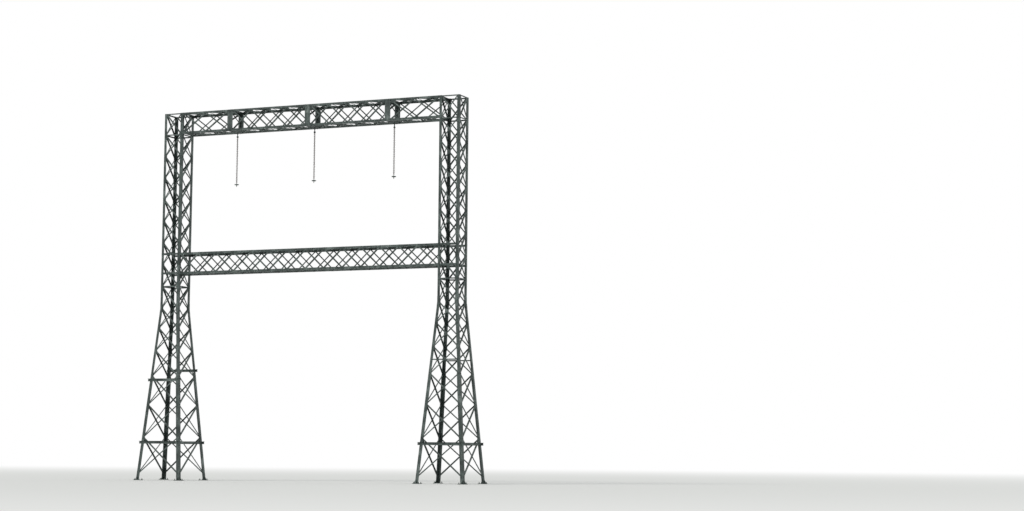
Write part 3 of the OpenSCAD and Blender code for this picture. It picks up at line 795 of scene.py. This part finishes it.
# %% Bolts of the stations
PLATE_COLUMNS, PLATE_ROWS = np.array([-0.135, -0.045, 0.045, 0.135]), (0.03, 0.085)
BEAM_T, BEAM_BOLT_Y, BEAM_BOLT_X = 0.008, 0.565, 0.009
plate_x = np.concatenate([station + PLATE_COLUMNS for station in STATIONS])
plate_bolts = [on_girder(side, LINE_TOP, plate_x, rise * (DEPTH / 2 - inset), CHORD_T + STATION_T)
               for side in ("front", "rear") for rise in (-1, 1) for inset in PLATE_ROWS]
beam_x = np.repeat(STATIONS, 2) + BEAM_BOLT_X
beam_y = np.array([-BEAM_BOLT_Y, BEAM_BOLT_Y] * len(STATIONS))
beam_bolts = on_girder("top", LINE_TOP, beam_x, beam_y, -DEPTH + BEAM_T)
make_piece("station_bolts", together(copies(bolt(CHORD_T + STATION_T), np.concatenate(plate_bolts)),
                                     copies(bolt(CHORD_T + BEAM_T), beam_bolts)),
           galvanised_plate)

# %% [markdown]
# Inside the girder, each station has an upright frame that keeps its section square above the
# hanger beam: two posts behind the station plates, an angle across the top, and a cross of two
# angles in the upper half. A solid plate would do the same work, but it would catch the wind. One
# L-shaped outline serves for every bar. It is drawn one metre long, and its place stretches it
# from the bar's one end to the other.

# %% Frames of the stations
ANGLE = [(-0.035, 0.0), (0.035, 0.0), (0.035, 0.006),
         (-0.029, 0.006), (-0.029, 0.07), (-0.035, 0.07)]
angle_bar = plate(ANGLE, 0.0, 1.0)
CROSS_X, BAR_Y, BAR_BOLT_Y, BAR_BOLT_IN = -0.030, 0.575, 0.557, 0.009
# Posts and top angle lie a little to either side of one plane, so that no faces coincide
POST_Y, TIE_Y, APART = DEPTH / 2, 0.6, 0.001
POST_LOW, POST_HIGH = LINE_TOP - DEPTH + 0.125, LINE_TOP - 0.01
CROSS_LOW, CROSS_HIGH = LINE_TOP - 0.64, LINE_TOP - 0.05


def along_bar(start, end, out):
    """A bar's place: its outline's second axis points to out, its length runs start to end."""
    run = np.subtract(end, start)
    across = np.cross(out, run)
    return np.stack([across / np.linalg.norm(across), out, run, start], axis=1)


def at_stations(places):
    """The places repeated at the three stations."""
    places = np.repeat(np.reshape(places, (1, -1, 3, 4)), len(STATIONS), axis=0)
    places[:, :, 0, 3] += STATIONS[:, None]
    return places.reshape(-1, 3, 4)


front_x, rear_x = CROSS_X - LACE_T, CROSS_X
frame_bars = [along_bar((-APART, -POST_Y, POST_LOW), (-APART, -POST_Y, POST_HIGH), (0, 1, 0)),
              along_bar((-APART, POST_Y, POST_HIGH), (-APART, POST_Y, POST_LOW), (0, -1, 0)),
              along_bar((APART, TIE_Y, LINE_TOP), (APART, -TIE_Y, LINE_TOP), (0, 0, -1)),
              along_bar((front_x, -BAR_Y, CROSS_HIGH), (front_x, BAR_Y, CROSS_LOW), (-1, 0, 0)),
              along_bar((rear_x, -BAR_Y, CROSS_LOW), (rear_x, BAR_Y, CROSS_HIGH), (1, 0, 0))]
make_piece("station_frames", copies(angle_bar, at_stations(frame_bars)), galvanised_angle)

# %% [markdown]
# The cross is bolted at its four ends and, with a packing plate between the bars, in its middle. A
# bolt runs through it along X with its head to the left, so its place has axes that run against Y,
# up Z and against X.

# %% Bolts of the station frames
LOOKS_LEFT = np.array([[0, 0, -1], [-1, 0, 0], [0, 1, 0]])
high, low = CROSS_HIGH - BAR_BOLT_IN, CROSS_LOW + BAR_BOLT_IN
middle = (CROSS_HIGH + CROSS_LOW) / 2
ends = [(front_x - LACE_T, -BAR_BOLT_Y, high), (front_x - LACE_T, BAR_BOLT_Y, low),
        (front_x, BAR_BOLT_Y, high), (front_x, -BAR_BOLT_Y, low)]
end_places = at_stations([np.c_[LOOKS_LEFT, spot] for spot in ends])
middle_places = at_stations([np.c_[LOOKS_LEFT, (front_x - LACE_T, 0.0, middle)]])
pack_places = at_stations([np.c_[LOOKS_LEFT, (rear_x, 0.0, middle)]])
make_piece("station_frame_bolts", together(
    copies(bolt(2 * LACE_T), end_places), copies(bolt(3 * LACE_T), middle_places),
    copies(plate(CROSSING, 0.0, LACE_T), pack_places)), galvanised_plate)

# %% [markdown]
# Each base plate stands on four anchor bolts cast into the foundation. A square washer covers the
# roomy hole, and two nuts, a thick one and a thin one locking it, hold the plate down. The bolts
# stand in a square round the middle of each foot, so all 32 places are one grid of signs: which
# mast, which leg and which corner of the plate.

# %% Anchor bolts
FOOT_LEG, PLATE_T, SQUARE_HALF, SQUARE_T = 0.19, 0.025, 0.035, 0.008
STUD = [(0.015, 0), (0.015, 0.104), (0.012, 0.11)]
THICK_NUT = [(0.0245, 0.033), (0.0266, 0.035), (0.0266, 0.057), (0.0245, 0.059)]
THIN_NUT = [(0.0245, 0.0595), (0.0266, 0.061), (0.0266, 0.073), (0.0245, 0.075)]
square = SQUARE_HALF * np.array([(-1, -1), (1, -1), (1, 1), (-1, 1)])
anchor = together(turned(STUD, 12), plate(square, PLATE_T, PLATE_T + SQUARE_T),
                  turned(THICK_NUT, 6), turned(THIN_NUT, 6))
signs = np.array([-1.0, 1.0])
leg, corner = signs * (BASE - FOOT_LEG / 2), signs * 0.15
spots = np.array(np.meshgrid(signs * MAST_X, leg, corner, leg, corner)).reshape(5, -1)
anchors = np.zeros((spots.shape[1], 3, 4))
anchors[:, :, :3] = np.eye(3)
anchors[:, 0, 3] = spots[0] + spots[1] + spots[2]
anchors[:, 1, 3] = spots[3] + spots[4]
make_piece("anchor_bolts", copies(anchor, anchors), galvanised_plate)

# %% [markdown]
# An insulator is a glass-fibre rod inside moulded silicone rubber. Its sheds are thin discs that
# slope to shed the rain, thick at the root and rounded at the rim, with a large one and a small one
# in turn. They could be discs threaded on a rod. The real ones are moulded in one, so rod and sheds
# are one profile, turned once.

# %% Sheds of the insulators
EYE_DROP, EYE_BACK, PIN_DROP, FITTING = 0.07, 0.27, 0.028, 0.11
PIN_Z, ROD_LEN = LINE_TOP - DEPTH - EYE_DROP, 2.77
ROD_TOP = PIN_Z - PIN_DROP - FITTING
ROD_LOW = ROD_TOP - ROD_LEN
ROD_R, SHED_PITCH, BIG_SHED, SMALL_SHED = 0.017, 0.1, 0.065, 0.05
SHED_SHAPE = np.array([(0.0, -0.17), (0.12, -0.115), (0.55, -0.07), (0.93, -0.05), (0.985, -0.035),
                       (1.0, -0.01), (0.97, 0.0), (0.6, 0.075), (0.2, 0.165), (0.0, 0.25)])


def shed(height, radius):
    """One shed's profile: out by shares of the way from rod to rim, up by shares of its radius."""
    return np.c_[ROD_R + SHED_SHAPE[:, 0] * (radius - ROD_R), height + SHED_SHAPE[:, 1] * radius]


shed_count = int(ROD_LEN / SHED_PITCH - 0.5)
first_shed = ROD_LOW + (ROD_LEN - (shed_count - 1) * SHED_PITCH) / 2
profile = [shed(first_shed + k * SHED_PITCH / 2, SMALL_SHED if k % 2 else BIG_SHED)
           for k in range(2 * shed_count - 1)]
sheds = turned(np.concatenate([[(ROD_R, ROD_LOW)], *profile, [(ROD_R, ROD_TOP)]]), 48)
print(shed_count, "large sheds over", ROD_LEN, "m")

# %% [markdown]
# Steel ends are pressed onto the rod, which leaves two grooves round each. The upper one is a
# clevis with two ears on a pin, the lower one a tongue. A ring at the lower end spreads the
# electric field, and a rounded cap does the same for the joint of rod and steel at the upper end.
# Ears and pin lie across. They are drawn upright, like everything else, and laid along X.

# %% Steel ends of the insulators
END_PROFILE = np.array([(0.022, 0), (0.027, 0.006), (0.028, 0.02), (0.028, 0.03), (0.0255, 0.034),
                        (0.0255, 0.046), (0.028, 0.05), (0.028, 0.06), (0.0255, 0.064),
                        (0.0255, 0.076), (0.028, 0.08), (0.028, 0.1), (0.025, 0.11)])
CAP_PROFILE = np.array([(0.02, -0.08), (0.036, -0.077), (0.05, -0.068), (0.058, -0.053),
                        (0.061, -0.035), (0.058, -0.017), (0.049, -0.002), (0.036, 0.007),
                        (0.027, 0.01)])
PIN = [(0.0098, -0.031), (0.0105, -0.03), (0.0105, 0.026)]
PIN_HEAD = [(0.015, 0.026), (0.016, 0.0275), (0.016, 0.0305), (0.0145, 0.031)]
EAR_R, EAR_T, EAR_IN, EAR_ROOT = 0.025, 0.016, 0.0095, 0.03
RING_R, TUBE_R, ARM_R = 0.105, 0.025, 0.0125


def ring_tube(major, minor, height, around, across):
    """A ring: point = ((R + r cos b) cos a, (R + r cos b) sin a, h + r sin b) for turns a and b."""
    a = 2 * np.pi * np.arange(around)[:, None] / around
    b = 2 * np.pi * np.arange(across)[None, :] / across
    out = major + minor * np.cos(b)
    grid = [out * np.cos(a), out * np.sin(a), height + minor * np.sin(b) + 0 * a]
    i, j = np.meshgrid(np.arange(around), np.arange(across), indexing="ij")
    i2, j2 = (i + 1) % around, (j + 1) % across
    quads = [i * across + j, i2 * across + j, i2 * across + j2, i * across + j2]
    return np.stack(grid, axis=-1).reshape(-1, 3), [np.stack(quads, axis=-1).reshape(-1, 4)]


def laid_along_x(surface, origin):
    """A surface drawn up Z, laid along X at the origin given."""
    return copies(surface, [np.c_[[[0, 0, 1], [1, 0, 0], [0, 1, 0]], origin]])


ear_turns = np.linspace(0, np.pi, 17)
ear_outline = np.concatenate([[(-EAR_R, -EAR_ROOT), (EAR_R, -EAR_ROOT)],
                              EAR_R * np.c_[np.cos(ear_turns), np.sin(ear_turns)]])
ear = plate(ear_outline, 0.0, EAR_T)
ring_z = ROD_LOW - FITTING / 2
end_places = [np.c_[np.eye(3), [0, 0, ROD_TOP]], np.c_[np.diag([1, -1, -1]), [0, 0, ROD_LOW]]]
steel_ends = together(
    copies(turned(END_PROFILE, 32), end_places), laid_along_x(ear, (EAR_IN, 0, PIN_Z)),
    laid_along_x(ear, (-EAR_IN - EAR_T, 0, PIN_Z)), laid_along_x(turned(PIN, 20), (0, 0, PIN_Z)),
    laid_along_x(turned(PIN_HEAD, 20), (0, 0, PIN_Z)), turned(CAP_PROFILE + [0, ROD_TOP], 32),
    ring_tube(RING_R, TUBE_R, ring_z, 64, 16),
    laid_along_x(turned([(ARM_R, -RING_R), (ARM_R, RING_R)], 12), (0, 0, ring_z)))
print("steel ends of", len(steel_ends[0]), "points")

# %% [markdown]
# Each insulator hangs a little behind the girder's middle plane, under its station. The rubber
# stands for the solid model's whole insulator, and the steel ends ride beside it.

# %% Insulators
# Edges sharper than this many degrees stay sharp, and the rest are shaded smooth
SMOOTH = 40
for name, x in zip(("left_insulator", "middle_insulator", "right_insulator"), STATIONS):
    place = [np.c_[np.eye(3), [x, EYE_BACK, 0]]]
    make_piece(f"{name}_sheds", copies(sheds, place), silicone_rubber,
               stands_for=(name,), smooth_angle=SMOOTH)
    make_piece(f"{name}_fittings", copies(steel_ends, place), galvanised_plate,
               smooth_angle=SMOOTH)
